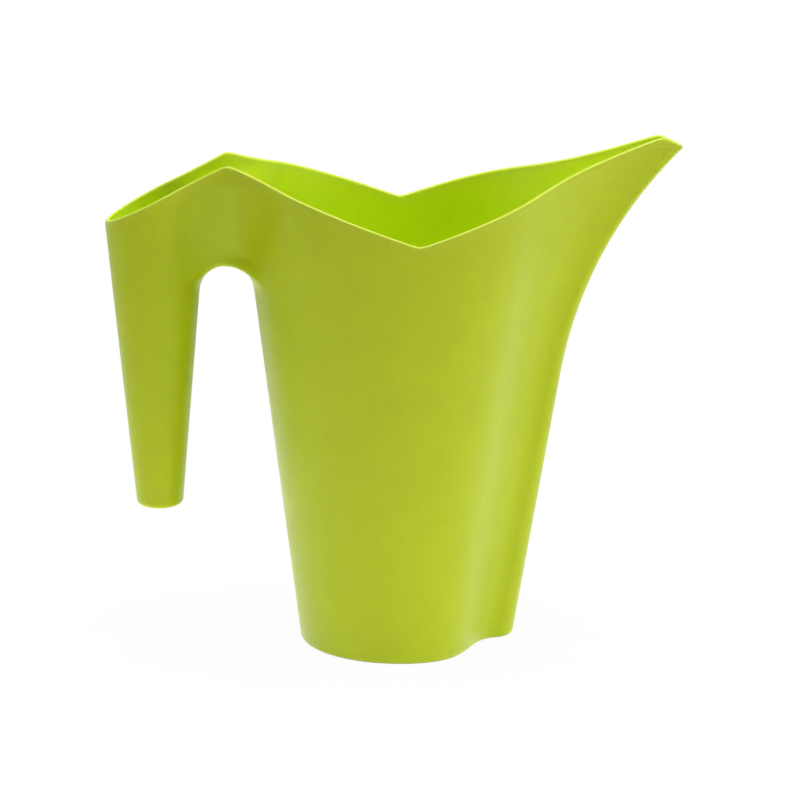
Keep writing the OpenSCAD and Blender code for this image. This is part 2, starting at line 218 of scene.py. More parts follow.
class PlasticFinish(bpy.types.PropertyGroup):
    """Colour and surface of the moulded plastic"""

    colour: FloatVectorProperty(
        name="Plastic", description="Colour of the plastic",
        subtype="COLOR", default=(0.43, 0.52, 0.006)
    )
    # Painted light: a lighter, greener copy of the plastic for the inside faces, standing in for
    # light that bounces inside and comes through the wall
    inside_colour: FloatVectorProperty(
        name="Inside", description="Deeper colour inside, where light comes through the wall",
        subtype="COLOR", default=(0.56, 0.755, 0.001)
    )
    # Painted highlight: a paler colour along the rim, where its rounded edge catches light
    rim_colour: FloatVectorProperty(
        name="Thin edge", description="Paler colour of the rim, where the wall is thin and rubbed",
        subtype="COLOR", default=(0.50, 0.57, 0.07)
    )
    roughness: share("Roughness", 0.4, "Roughness of the satin surface")
    gloss: share("Gloss", 0.2, "Strength of the surface's reflection")
    grain: length("Grain", 0.25, "Size of the mould's spark-eroded grain")
    grain_height: length("Grain height", 0.07, "Height of that grain")


class StudioSettings(bpy.types.PropertyGroup):
    """Camera, lamps and backdrop"""

    azimuth: angle("Azimuth", -3.7, "Camera's angle round the can, from its side view")
    elevation: angle("Elevation", 13.2, "Camera's angle above the horizon")
    distance: length("Distance", 1250, "From the camera to the can's middle")
    lens: share("Lens", 135.96, "Focal length in millimetres, on a 36 mm sensor")
    aim: FloatVectorProperty(
        name="Aim", description="Point that the camera and the lamps look at",
        subtype="TRANSLATION",
        default=[(a + b) / 2 + c * MM for a, b, c in zip(*CAD_BOX, (2.1, 0.0, -3.7))]
    )
    sky: share("Sky", 0.03, "Strength of the light from all round")
    beak_lamp: share("Beak lamp", 4.2, "Power of the softbox in front of the beak, in watts")
    grip_lamp: share("Grip lamp", 0.85, "Power of the softbox behind the grip, in watts")
    top_lamp: share("Top lamp", 17.0, "Power of the softbox overhead, in watts")
    table_lamp: share("Table lamp", 1.35, "Power of the light table under the can, in watts")


# ---- one way to do sums on numbers, arrays and node sockets ----
class Socket:
    """An output socket whose arithmetic adds Math nodes to its tree."""

    def __init__(self, maker, socket):
        self.maker = maker
        self.socket = socket

    def __add__(self, other):
        return self.maker.math("ADD", self, other)

    def __sub__(self, other):
        return self.maker.math("SUBTRACT", self, other)

    def __rsub__(self, other):
        return self.maker.math("SUBTRACT", other, self)

    def __mul__(self, other):
        return self.maker.math("MULTIPLY", self, other)

    def __truediv__(self, other):
        return self.maker.math("DIVIDE", self, other)

    def __rtruediv__(self, other):
        return self.maker.math("DIVIDE", other, self)

    def __neg__(self):
        return self.maker.math("MULTIPLY", self, -1.0)

    __radd__ = __add__
    __rmul__ = __mul__


class NodeMaker:
    """Adds nodes to one shader or geometry tree."""

    def __init__(self, tree):
        self.tree = tree

    def feed(self, socket, value):
        """Links a socket to another, or sets its value."""
        if isinstance(value, Socket):
            self.tree.links.new(value.socket, socket)
        else:
            socket.default_value = value

    def make(self, kind, settings=None, inputs=None):
        """A node of this kind, with its settings set first, then its sockets fed."""
        node = self.tree.nodes.new(kind)
        for name, value in (settings or {}).items():
            setattr(node, name, value)
        for key, value in (inputs or {}).items():
            self.feed(node.inputs[key], value)
        return node

    def get(self, kind, settings=None, inputs=None, output=0):
        """One output of such a node, ready for sums."""
        return Socket(self, self.make(kind, settings, inputs).outputs[output])

    def math(self, operation, *values):
        return self.get("ShaderNodeMath", {"operation": operation}, dict(enumerate(values)))

    def mix_colours(self, factor, a, b):
        return self.get("ShaderNodeMix", {"data_type": "RGBA"}, {0: factor, 6: a, 7: b}, output=2)


ARRAY_SUMS = {
    "SINE": np.sin,
    "COSINE": np.cos,
    "TANGENT": np.tan,
    "SQRT": np.sqrt,
    "MINIMUM": np.minimum,
    "MAXIMUM": np.maximum,
    "GREATER_THAN": lambda a, b: np.where(np.asarray(a) > b, 1.0, 0.0),
}


def work_out(operation, *values):
    """A sum by its Math node's name, for sockets as nodes, otherwise for numbers and arrays."""
    for value in values:
        if isinstance(value, Socket):
            return value.maker.math(operation, *values)
    return ARRAY_SUMS[operation](*values)


def sin(x):
    return work_out("SINE", x)


def cos(x):
    return work_out("COSINE", x)


def tan(x):
    return work_out("TANGENT", x)


def root(x):
    return work_out("SQRT", x)


def lower(a, b):
    return work_out("MINIMUM", a, b)


def higher(a, b):
    return work_out("MAXIMUM", a, b)


def above(a, b):
    """1 where a is above b, otherwise 0."""
    return work_out("GREATER_THAN", a, b)


def within_one(x):
    """x, held between 0 and 1."""
    return lower(higher(x, 0.0), 1.0)


def ramp(x, start, width):
    """0 up to start, 1 from start + width on, and straight between."""
    return within_one((x - start) / width)


def lerp(a, b, t):
    return a + (b - a) * t


class Plan:
    """A point or a direction seen from above."""

    def __init__(self, x, y):
        self.x = x
        self.y = y

    def __add__(self, other):
        return Plan(self.x + other.x, self.y + other.y)

    def __sub__(self, other):
        return Plan(self.x - other.x, self.y - other.y)

    def __mul__(self, number):
        return Plan(self.x * number, self.y * number)

    def length(self):
        return root(self.x * self.x + self.y * self.y)

    def unit(self):
        return self * (1.0 / self.length())

    def inward(self):
        """Direction into the plastic, seen walking this way clockwise round an outline."""
        return Plan(self.y, -self.x)


def polar(radius, turn):
    return Plan(radius * cos(turn), radius * sin(turn))


def bezier(a, b, c, d, t):
    s = 1.0 - t
    return a * (s * s * s) + b * (3.0 * s * s * t) + c * (3.0 * s * t * t) + d * (t * t * t)


def bezier_way(a, b, c, d, t):
    """Direction along that curve."""
    s = 1.0 - t
    return (b - a) * (s * s) + (c - b) * (2.0 * s * t) + (d - c) * (t * t)


# ---- outlines, as in the part's source; d holds the sizes ----
def vessel_r(d, z):
    return d.base_r + z * tan(d.wall_draft)


def up_the_bridge(d, z):
    """How far z is on the way from the finger gap's corners to the rim."""
    return ramp(z, d.arch_z - d.arch_r, d.meet_z - (d.arch_z - d.arch_r))


def meet_angle(d, z):
    return lerp(d.vessel_meet_low, d.vessel_meet, up_the_bridge(d, z))


def leave_angle(d, z):
    return lerp(d.grip_leave_low, d.grip_leave, up_the_bridge(d, z))


def keel_x(d, z):
    foot = d.keel_foot + lower(z, d.keel_bend_z) * tan(d.keel_draft)
    rise = sin(d.keel_draft) + higher(z - d.keel_bend_z, 0.0) / d.keel_bend_r
    return foot + d.keel_bend_r * (cos(d.keel_draft) - root(1.0 - rise * rise))


def nose_r(d, z):
    return lerp(d.nose_r_low, d.nose_r_high, z / d.beak_z)


def vessel_edge(d, z, s):
    """Point of the vessel's outline and the direction into the plastic.

    s runs from the back (0) past the bridge's side (1) and the notch (2) along the flank
    to the keel's round edge (3) and the centre plane in front (4).
    """
    r = vessel_r(d, z)
    meet = meet_angle(d, z)
    turn = lerp(math.pi, meet, ramp(s, 0.0, 1.0)) + (d.notch_angle - meet) * ramp(s, 1.0, 1.0)
    corner = QUARTER_TURN - d.nose_angle
    start = polar(r, d.notch_angle)
    centre = Plan(keel_x(d, z) - nose_r(d, z), 0.0)
    end = centre + polar(nose_r(d, z), corner)
    hold_wall = r * lerp(d.flank_hold_low, d.flank_hold_high, z / d.beak_z)
    hold_keel = d.keel_hold + d.keel_hold_grow * (keel_x(d, z) - r)
    curve = (
        start,
        start + Plan(sin(d.notch_angle), -cos(d.notch_angle)) * hold_wall,
        end - Plan(cos(d.nose_angle), -sin(d.nose_angle)) * hold_keel,
        end,
    )
    t = ramp(s, 2.0, 1.0)
    nose_turn = corner * (1.0 - ramp(s, 3.0, 1.0))
    on_flank, on_nose = above(s, 2.0), above(s, 3.0)

    def choose(wall, flank, nose):
        return wall * (1.0 - on_flank) + flank * (on_flank - on_nose) + nose * on_nose

    point = choose(polar(r, turn), bezier(*curve, t), centre + polar(nose_r(d, z), nose_turn))
    into = choose(polar(-1.0, turn), bezier_way(*curve, t).unit().inward(), polar(-1.0, nose_turn))
    return point, into


def vessel_xy(d, z, s, depth):
    """A point of the outline, or one at this depth in the plastic, square to the leaning wall."""
    point, into = vessel_edge(d, z, s)
    higher_point, _ = vessel_edge(d, z + MM, s)
    out = (point.x - higher_point.x) * into.x + (point.y - higher_point.y) * into.y
    out = out / MM
    lean = 1.0 + above(s, 2.0) * (cos(d.wall_draft) * root(1.0 + out * out) - 1.0)
    return point + into * (depth * lean)


def grip_xy(d, z, turn, depth):
    half_x = d.grip_a + (z - d.grip_z) * tan(d.grip_draft_x)
    half_y = d.grip_b + (z - d.grip_z) * tan(d.grip_draft_y)
    out = Plan(half_y * cos(turn), half_x * sin(turn)).unit()
    return Plan(d.grip_x + half_x * cos(turn), half_y * sin(turn)) - out * depth


def grip_turn_xy(d, z, v, depth):
    """v runs from the gap's middle (0) past the bridge's side (1) to the grip's back (2)."""
    leave = leave_angle(d, z)
    return grip_xy(d, z, leave * ramp(v, 0.0, 1.0) + (math.pi - leave) * ramp(v, 1.0, 1.0), depth)


def side_xy(d, z, t, depth):
    """The bridge's side, from the grip's oval (0) to the round vessel (1)."""
    leave, meet = leave_angle(d, z), meet_angle(d, z)
    start = grip_xy(d, z, leave, 0.0)
    way = (start - grip_xy(d, z, leave, 1.0)).inward()
    end = polar(vessel_r(d, z), meet)
    curve = (
        start,
        start + way * d.grip_hold,
        end - Plan(sin(meet), -cos(meet)) * d.vessel_hold,
        end,
    )
    return bezier(*curve, t) + bezier_way(*curve, t).unit().inward() * depth


# ---- the rim ----
def rim_z(d, x):
    """Height of the rim's cut at x, straight between rounded corners."""

    def line(x0, z0, slope):
        return z0 + slope * (x - x0)

    def blend(a, b, sign):
        return (a + b + sign * np.hypot(a - b, d.rim_corner)) / 2

    back = line(d.notch_x, d.notch_z, (d.crest_z - d.notch_z) / (d.crest_x - d.notch_x))
    front = line(d.notch_x, d.notch_z, (d.beak_z - d.notch_z) / (d.beak_x - d.notch_x))
    over_grip = line(d.crest_x, d.crest_z, math.tan(d.grip_rim_fall))
    over_tip = line(d.beak_x, d.beak_z, -math.tan(d.tip_rim_fall))
    return blend(blend(blend(back, front, 1), over_grip, -1), over_tip, -1)


def meet_rim(d, outline):
    """Height at which outline points, which move with the height, meet the cut."""
    z = d.notch_z
    for _ in range(SEARCH_STEPS):
        z = rim_z(d, outline(z).x) - d.wall / 2
    return z


def find_place(outline, x):
    """Where along a curve of 0 to 1 its X, which grows, reaches x."""
    low, high = 0.0, 1.0
    for _ in range(SEARCH_STEPS):
        middle = (low + high) / 2
        low, high = (middle, high) if outline(middle).x < x else (low, middle)
    return low


# ---- columns round the walls and steps across the bridge ----
def across_bridge(d, k, width, depth):
    """Share of the half width at step k from the bridge's side, and the rise of its edge."""
    edge = (d.edge_r - depth) / width
    bend = ramp(k, 0.0, EDGE) * QUARTER_TURN
    place = 1.0 - edge * (1.0 - cos(bend)) - (1.0 - edge) * ramp(k, EDGE, FLAT)
    return place, (d.edge_r - depth) * (1.0 - sin(bend))


def vessel_place(d, column, depth):
    """Position round the vessel and height of the joint line at a column from the back."""
    half_turn = (math.pi - meet_angle(d, d.arch_z)) / 2.0
    width = 2.0 * (vessel_r(d, d.arch_z) - depth) * sin(half_turn)
    s, rise = across_bridge(d, higher(ACROSS - column, 0.0), width, depth)
    s = s + ramp(column, ACROSS, SIDE) + d.beak_t * ramp(column, NOTCH_COLUMN, FLANK)
    s = s + (1.0 - d.beak_t) * ramp(column, NOTCH_COLUMN + FLANK, TIP_FLANK)
    s = s + ramp(column, BEAK_COLUMN - TIP, TIP)
    return s, d.arch_z - d.arch_r + rise


def grip_place(d, column, depth):
    """Position round the grip and height of the joint line at a column from its back."""
    width = grip_turn_xy(d, d.arch_z, 1.0, depth) - grip_turn_xy(d, d.arch_z, 0.0, depth)
    v, rise = across_bridge(d, higher(column - GRIP_BACK, 0.0), width.length(), depth)
    return v + 1.0 - ramp(column, 0.0, GRIP_BACK), d.arch_z - d.arch_r + rise


# ---- meshes from sections ----
def new_piece(name, mesh, cad_node):
    """An object for a finished mesh, tied to the frame."""
    obj = bpy.data.objects.new(name, mesh)
    bpy.context.scene.collection.objects.link(obj)
    mesh.materials.clear()
    mesh.materials.append(plastic_material())
    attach(obj, "root")
    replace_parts(obj, cad_node)
    return obj


def wall_mesh(name, sections, d, ring=False, capped=False, flat_rows=()):
    """A mesh from sections that stand side by side, clockwise seen from above.

    A section is closed, and its point j faces point m - 1 - j across the wall. A capped one is
    open, and flat faces close its first and its last row.
    """
    n, m = sections.shape[:2]
    index = np.arange(n * m).reshape(n, m)
    low, high = (index, np.roll(index, -1, 0)) if ring else (index[:-1], index[1:])
    quads = np.stack([low, np.roll(low, -1, 1), np.roll(high, -1, 1), high], -1)
    flat = []
    if capped:
        quads = quads[:, :-1]
        flat += [index[:, 0], index[::-1, -1]]
    else:
        flat_rows = (*flat_rows, m - 1)
    is_flat = np.isin(np.arange(quads.shape[1]), flat_rows)
    flat += list(quads[:, is_flat].reshape(-1, 4))
    if not ring:
        half = m // 2
        a, b = index[:, : half - 1], index[:, 1:half]
        c, e = index[:, m - 1 : half : -1], index[:, m - 2 : half - 1 : -1]
        flat += list(np.stack([a[0], c[0], e[0], b[0]], -1))
        flat += list(np.stack([a[-1], b[-1], e[-1], c[-1]], -1))
    smooth = list(quads[:, ~is_flat].reshape(-1, 4))
    points = sections.reshape(-1, 3)
    mesh = bpy.data.meshes.new(name)
    mesh.from_pydata(points.tolist(), [], [f.tolist() for f in smooth + flat])
    mesh.polygons.foreach_set("use_smooth", [True] * len(smooth) + [False] * len(flat))
    below = rim_z(d, points[:, 0]) - points[:, 2]
    # Mask of the painted highlight along the rim, fading below its cut
    light = mesh.attributes.new("rim_light", "FLOAT", "POINT")
    light.data.foreach_set("value", np.exp(-np.maximum(below, 0.0) / RIM_FADE))
    # Mask of the inside faces, which get the painted light inside
    inside = mesh.attributes.new("inside", "FLOAT", "POINT")
    inside.data.foreach_set("value", np.where(capped, 0.0, np.arange(n * m) % m >= m // 2))
    return mesh


def stack(plan, z):
    """Points from a plan and a height, as one array."""
    x, y, z = np.broadcast_arrays(plan.x, plan.y, z)
    return np.stack([x, y, z], -1)


def mirrored(points):
    return points * np.array([1.0, -1.0, 1.0])


def rim_points(a, b, radius):
    """Half round between the tops of the outer and the inner face."""
    turn = math.pi * np.arange(1, RIM_ROWS + 1) / (RIM_ROWS + 1)
    shape = (1,) * (a.ndim - 1)
    c = np.cos(turn).reshape(*shape, -1, 1)
    up = np.sin(turn).reshape(*shape, -1, 1) * np.array([0.0, 0.0, radius])
    a, b = a[..., None, :], b[..., None, :]
    return (a + b) / 2 + (a - b) / 2 * c + up


def upper_sections(d, outline, joint_outer, joint_inner):
    """Sections from the joint line up to the rim and down again.

    outline(z, depth) gives one point for each section.
    """
    rows = np.linspace(0.0, 1.0, UPPER_ROWS + 1)
    faces = []
    for depth, joint in ((0.0, joint_outer), (d.wall, joint_inner)):
        top = meet_rim(d, lambda z: outline(z, depth))
        levels = [lerp(joint, top, t) for t in rows]
        faces.append(np.stack([stack(outline(z, depth), z) for z in levels], 1))
    outer, inner = faces
    rim = rim_points(outer[:, -1], inner[:, -1], d.wall / 2)
    return np.concatenate([outer, rim, inner[:, ::-1]], 1)


def vessel_sections(d, columns):
    s, joint_outer = vessel_place(d, columns, 0.0)
    _, joint_inner = vessel_place(d, columns, d.wall)
    return upper_sections(d, lambda z, depth: vessel_xy(d, z, s, depth), joint_outer, joint_inner)


def sections_up(*rows):
    """Sections from rows of points, each given as a plan and its height."""
    plans = [stack(plan, z) for plan, z in rows]
    return np.stack(np.broadcast_arrays(*plans), 1)


def both_sides(half):
    """Once round: along one side, and back along the other."""
    return np.concatenate([half, mirrored(half[-2:0:-1])])


# ---- the base ----
def base_sections(d):
    s, _ = vessel_place(d, np.arange(BEAK_COLUMN + 1.0), 0.0)
    ring_edge = d.foot_round + d.foot_ring_w

    def outline(depth, z):
        return vessel_xy(d, 0.0, s, depth), z

    def gate(radius, z):
        return vessel_xy(d, 0.0, s, d.foot_round).unit() * radius, z

    return both_sides(
        sections_up(
            gate(d.gate_r - CHAMFER, d.foot_recess / 2),
            gate(d.gate_r, d.foot_recess / 2 + CHAMFER),
            gate(d.gate_r + CHAMFER, d.foot_recess),
            outline(ring_edge + CHAMFER, d.foot_recess),
            outline(ring_edge, d.foot_recess - CHAMFER),
            outline(ring_edge, CHAMFER),
            outline(ring_edge - CHAMFER, 0.0),
            outline(d.foot_round, 0.0),
            outline(d.foot_round, d.floor_z),
        )
    )


# Rows of the base's flat faces: the recess, the ring and the side
BASE_FLAT_ROWS = (2, 6, 7)


# ---- the lower wall, as a tree of Geometry Nodes ----
WALL_TOP = FOOT_ROWS + WALL_ROWS
FILLET_START = WALL_TOP + 1 + WALL_ROWS
FILLET_END = FILLET_START + FILLET_ROWS
WALL_SECTION = FILLET_END + 3
WALL_COLUMNS = 2 * BEAK_COLUMN + 1


def row_height(d, t, foot, top):
    """Height at a share of the rows: level below the finger gap, then fanned out to the joint."""
    level = d.arch_z - d.arch_r - LEVEL_BELOW_GAP
    fan = (top - level) * ramp(t, LEVEL_ROWS, 1 - LEVEL_ROWS)
    return lerp(foot, level, ramp(t, 0.0, LEVEL_ROWS)) + fan


def lower_wall_point(d, column, row):
    """A point of the lower wall. Its rows climb the outside, fall inside and return underneath."""
    inside = ramp(row, WALL_TOP, 1.0)
    under = above(row, FILLET_END + 0.5)
    half = lower(column, 2.0 * BEAK_COLUMN - column)
    outer_s, outer_top = vessel_place(d, half, 0.0)
    inner_s, inner_top = vessel_place(d, half, d.wall)
    foot = ramp(row, 0.0, FOOT_ROWS) * QUARTER_TURN
    fillet = ramp(row, FILLET_START, FILLET_ROWS) * QUARTER_TURN
    outer_foot = d.foot_round * (1.0 - cos(foot))
    outer_z = row_height(d, ramp(row, FOOT_ROWS, WALL_ROWS), outer_foot, outer_top)
    inner_foot = d.floor_z + d.inner_fillet * (1.0 - sin(fillet))
    inner_z = row_height(d, 1.0 - ramp(row, WALL_TOP + 1.0, WALL_ROWS), inner_foot, inner_top)
    z = lerp(outer_z, inner_z, inside)
    depth = d.foot_round * (1.0 - sin(foot)) + d.wall * inside
    depth = lerp(depth + d.inner_fillet * (1.0 - cos(fillet)), d.foot_round, under)
    s = lerp(outer_s, inner_s, inside * (1.0 - under))
    plan = vessel_xy(d, z * (1.0 - under), s, depth)
    side = 1.0 - 2.0 * above(column, BEAK_COLUMN)
    return plan.x, plan.y * side, z * (1.0 - ramp(row, FILLET_END + 1.0, 1.0))


def lower_wall_tree(names):
    """The tree, with a named input for each size, and the input's identifier for each name."""
    tree = bpy.data.node_groups.new("Lower wall", "GeometryNodeTree")
    tree.interface.new_socket("Geometry", in_out="OUTPUT", socket_type="NodeSocketGeometry")
    identifiers = {}
    for name in names:
        socket = tree.interface.new_socket(name, in_out="INPUT", socket_type="NodeSocketFloat")
        identifiers[name] = socket.identifier
    nodes = NodeMaker(tree)
    entry = nodes.make("NodeGroupInput")
    sizes = {name: Socket(nodes, entry.outputs[i]) for i, name in enumerate(names)}
    index = nodes.get("GeometryNodeInputIndex")

    def row_of(count):
        return nodes.math("FLOOR", (index + 0.5) / count)

    row = row_of(WALL_COLUMNS)
    column = index - row * WALL_COLUMNS
    x, y, z = lower_wall_point(SimpleNamespace(**sizes), column, row)
    place = nodes.get("ShaderNodeCombineXYZ", inputs={0: x, 1: y, 2: z})
    face_row = row_of(WALL_COLUMNS - 1)
    joint = above(face_row, WALL_TOP - 0.5) - above(face_row, WALL_TOP + 0.5)
    flat = joint + above(face_row, FILLET_END - 0.5)
    grid = nodes.get(
        "GeometryNodeMeshGrid", inputs={"Vertices X": WALL_SECTION, "Vertices Y": WALL_COLUMNS}
    )
    shaded = nodes.get(
        "GeometryNodeSetShadeSmooth", {"domain": "FACE"},
        {"Geometry": grid, "Shade Smooth": 1.0 - flat}
    )
    # Inside faces, which get the painted light inside
    marked = nodes.get(
        "GeometryNodeStoreNamedAttribute", {"data_type": "FLOAT"},
        {"Geometry": shaded, "Name": "inside", "Value": above(row, WALL_TOP + 0.5)}
    )
    placed = nodes.get("GeometryNodeSetPosition", inputs={"Geometry": marked, "Position": place})
    closed = nodes.get(
        "GeometryNodeMergeByDistance", inputs={"Geometry": placed, "Distance": SAME_PLACE}
    )
    real = nodes.get("GeometryNodeRealizeInstances", inputs={"Geometry": closed})
    painted = nodes.get(
        "GeometryNodeSetMaterial", inputs={"Geometry": real, "Material": plastic_material()}
    )
    nodes.make("NodeGroupOutput", inputs={0: painted})
    return tree, identifiers


def lower_wall_mesh(d):
    names = [n for group in (VesselSizes, KeelSizes) for n in group.__annotations__]
    names += ["beak_z", "arch_z", "arch_r", "edge_r"]
    names += ["vessel_meet", "vessel_meet_low", "meet_z", "notch_angle", "beak_t"]
    tree, identifiers = lower_wall_tree(names)
    holder = bpy.data.objects.new("Lower wall nodes", bpy.data.meshes.new("Lower wall nodes"))
    modifier = holder.modifiers.new("Lower wall", "NODES")
    modifier.node_group = tree
    for name, identifier in identifiers.items():
        modifier[identifier] = float(getattr(d, name))
    bpy.context.scene.collection.objects.link(holder)
    ready = holder.evaluated_get(bpy.context.evaluated_depsgraph_get())
    mesh = bpy.data.meshes.new_from_object(ready)
    bpy.data.objects.remove(holder)
    return mesh


# ---- the bridge ----
def gap_xy(d, z, w, v, depth):
    """The bridge's underside: w runs from grip to vessel, v from the middle to the side."""
    level = lerp(grip_turn_xy(d, z, v, depth), vessel_xy(d, z, v, depth), w)
    ends = lerp(side_xy(d, z, 0.0, depth), side_xy(d, z, 1.0, depth), w)
    return level + (side_xy(d, z, w, depth) - ends) * (v * v)


def arch_w(i, v):
    """Place between the grip and the vessel of step i along the bridge."""
    at_grip = lerp(*GRIP_REACH, v)
    at_vessel = lerp(*VESSEL_REACH, v)
    rounded = bezier(0.0, 0.0, 1 - QUARTER, 1.0, ramp(i, 0, ARC))
    rounding = 1.0 - bezier(0.0, 0.0, 1 - QUARTER, 1.0, 1.0 - ramp(i, ALONG - ARC, ARC))
    level = (1.0 - at_grip - at_vessel) * ramp(i, ARC, MID)
    return at_grip * rounded + level + at_vessel * rounding


def gap_point(d, i, k, depth):
    width = gap_xy(d, d.arch_z, arch_w(i, 1.0), 1.0, depth)
    width = (width - gap_xy(d, d.arch_z, arch_w(i, 0.0), 0.0, depth)).length()
    v, rise = across_bridge(d, k, width, depth)
    foot = d.arch_z - d.arch_r + rise
    arch = bezier(0.0, QUARTER, 1.0, 1.0, lower(lower(i, ALONG - i), ARC) / ARC)
    z = lerp(foot, foot + d.arch_r + depth, arch)
    return gap_xy(d, z, arch_w(i, v), v, depth), z


def bridge_skin(d, i, depth):
    """The trough's outer or inner face, from one rim across the bottom to the other."""
    rim_t = d.crest_t * ramp(i, 0, ALONG / 2) + (1 - d.crest_t) * ramp(i, ALONG / 2, ALONG / 2)
    foot = gap_point(d, i, 0.0, depth)[1]
    top = meet_rim(d, lambda z: side_xy(d, z, rim_t, depth))
    rows = [gap_point(d, i, float(k), depth) for k in range(ACROSS, 0, -1)]
    for t in np.linspace(0.0, 1.0, UPPER_ROWS + 1):
        z = lerp(foot, top, t)
        rows.append((side_xy(d, z, lerp(arch_w(i, 1.0), rim_t, t), depth), z))
    half = sections_up(*rows)
    return np.concatenate([mirrored(half[:, :0:-1]), half], 1)


def bridge_sections(d):
    i = np.arange(ALONG + 1.0)
    outer, inner = bridge_skin(d, i, 0.0), bridge_skin(d, i, d.wall)
    left = rim_points(outer[:, -1], inner[:, -1], d.wall / 2)
    right = rim_points(inner[:, 0], outer[:, 0], d.wall / 2)
    cut = RIM_ROWS // 2
    return np.concatenate([right[:, cut:], outer, left, inner[:, ::-1], right[:, :cut]], 1)


# ---- the grip ----
def grip_columns():
    return np.arange(GRIP_BACK + ACROSS + 1.0)


def grip_sections(d):
    columns = grip_columns()
    rows = []
    for depth, first, last in ((0.0, 0, 1), (d.wall, 1, 0)):
        v, top = grip_place(d, columns, depth)
        for t in np.linspace(first, last, GRIP_ROWS):
            z = lerp(d.grip_joint, top, t)
            rows.append((grip_turn_xy(d, z, v, depth), z))
    return both_sides(sections_up(*rows))


def grip_end_sections(d):
    v, _ = grip_place(d, grip_columns(), 0.0)
    rows = []
    for bend in np.linspace(0.0, QUARTER_TURN, FOOT_ROWS + 1):
        z = d.grip_z + d.grip_round * (1 - math.cos(bend))
        rows.append((grip_turn_xy(d, z, v, d.grip_round * (1 - math.sin(bend))), z))
    rows.append((grip_turn_xy(d, d.grip_joint, v, 0.0), d.grip_joint))
    return both_sides(sections_up(*rows))


def mouth_sections(d):
    v, joint_outer = grip_place(d, np.arange(GRIP_BACK + 1.0), 0.0)
    _, joint_inner = grip_place(d, np.arange(GRIP_BACK + 1.0), d.wall)
    half = upper_sections(
        d, lambda z, depth: grip_turn_xy(d, z, v, depth), joint_outer, joint_inner
    )
    return np.concatenate([mirrored(half[:0:-1]), half])


def match_shading(pieces):
    """Gives pieces that meet the same normals along their joints."""
    joined = bmesh.new()
    for obj in pieces:
        joined.from_mesh(obj.data)
    flat = [f for f in joined.faces if not f.smooth]
    bmesh.ops.delete(joined, geom=flat, context="FACES")
    bmesh.ops.remove_doubles(joined, verts=joined.verts[:], dist=2 * SAME_PLACE)
    joined.normal_update()
    places = KDTree(len(joined.verts))
    normals = []
    for i, vertex in enumerate(joined.verts):
        places.insert(vertex.co, i)
        normals.append(vertex.normal.copy())
    places.balance()
    joined.free()
    for obj in pieces:
        mesh = obj.data
        loops = [Vector((0.0, 0.0, 0.0))] * len(mesh.loops)
        for polygon in mesh.polygons:
            if polygon.use_smooth:
                for i in polygon.loop_indices:
                    place = mesh.vertices[mesh.loops[i].vertex_index].co
                    loops[i] = normals[places.find(place)[1]]
        mesh.normals_split_custom_set(loops)


# ---- materials ----
# Slow flow marks in the plastic: size, height, and effects on colour and roughness
FLOW_SIZE, FLOW_HEIGHT, FLOW_SPREAD, FLOW_ROUGH = 30 * MM, 0.6 * MM, 1.2, 0.10
# Mottle: size, and effects on colour and roughness
MOTTLE_SIZE, MOTTLE_SPREAD, MOTTLE_ROUGH = 3 * MM, 0.6, 0.06
# Draw marks up the mould: size, length over width, height and effect on roughness
DRAW_SIZE, DRAW_STRETCH, DRAW_HEIGHT, DRAW_ROUGH = 0.6 * MM, 60.0, 0.04 * MM, 0.06
# Scuffed patches: size, the level of the noise where they start, and how fast they set in
SCUFF_SIZE, SCUFF_LEVEL, SCUFF_CONTRAST = 9 * MM, 0.56, 6.0
# Scratches in those patches: size, length over width, depth, and how much smoother they are
SCRATCH_SIZE, SCRATCH_STRETCH, SCRATCH_DEPTH, SCRATCH_SHINE = 0.8 * MM, 6.0, 0.06 * MM, 0.12
# Factors of the deepest and the palest tint, and how much of the rim's painted highlight shows
DEEPER, PALER, RIM_SHARE = 0.94, 1.05, 0.6
PLASTIC_IOR = 1.49
# Share of plain white round the can's foot, where it starts to grow, and the way to all white
FOOT_WHITE, SHADE_START, SHADE_FADE = 0.95, 0.2, 0.2
WHITE = (1.0, 1.0, 1.0, 1.0)


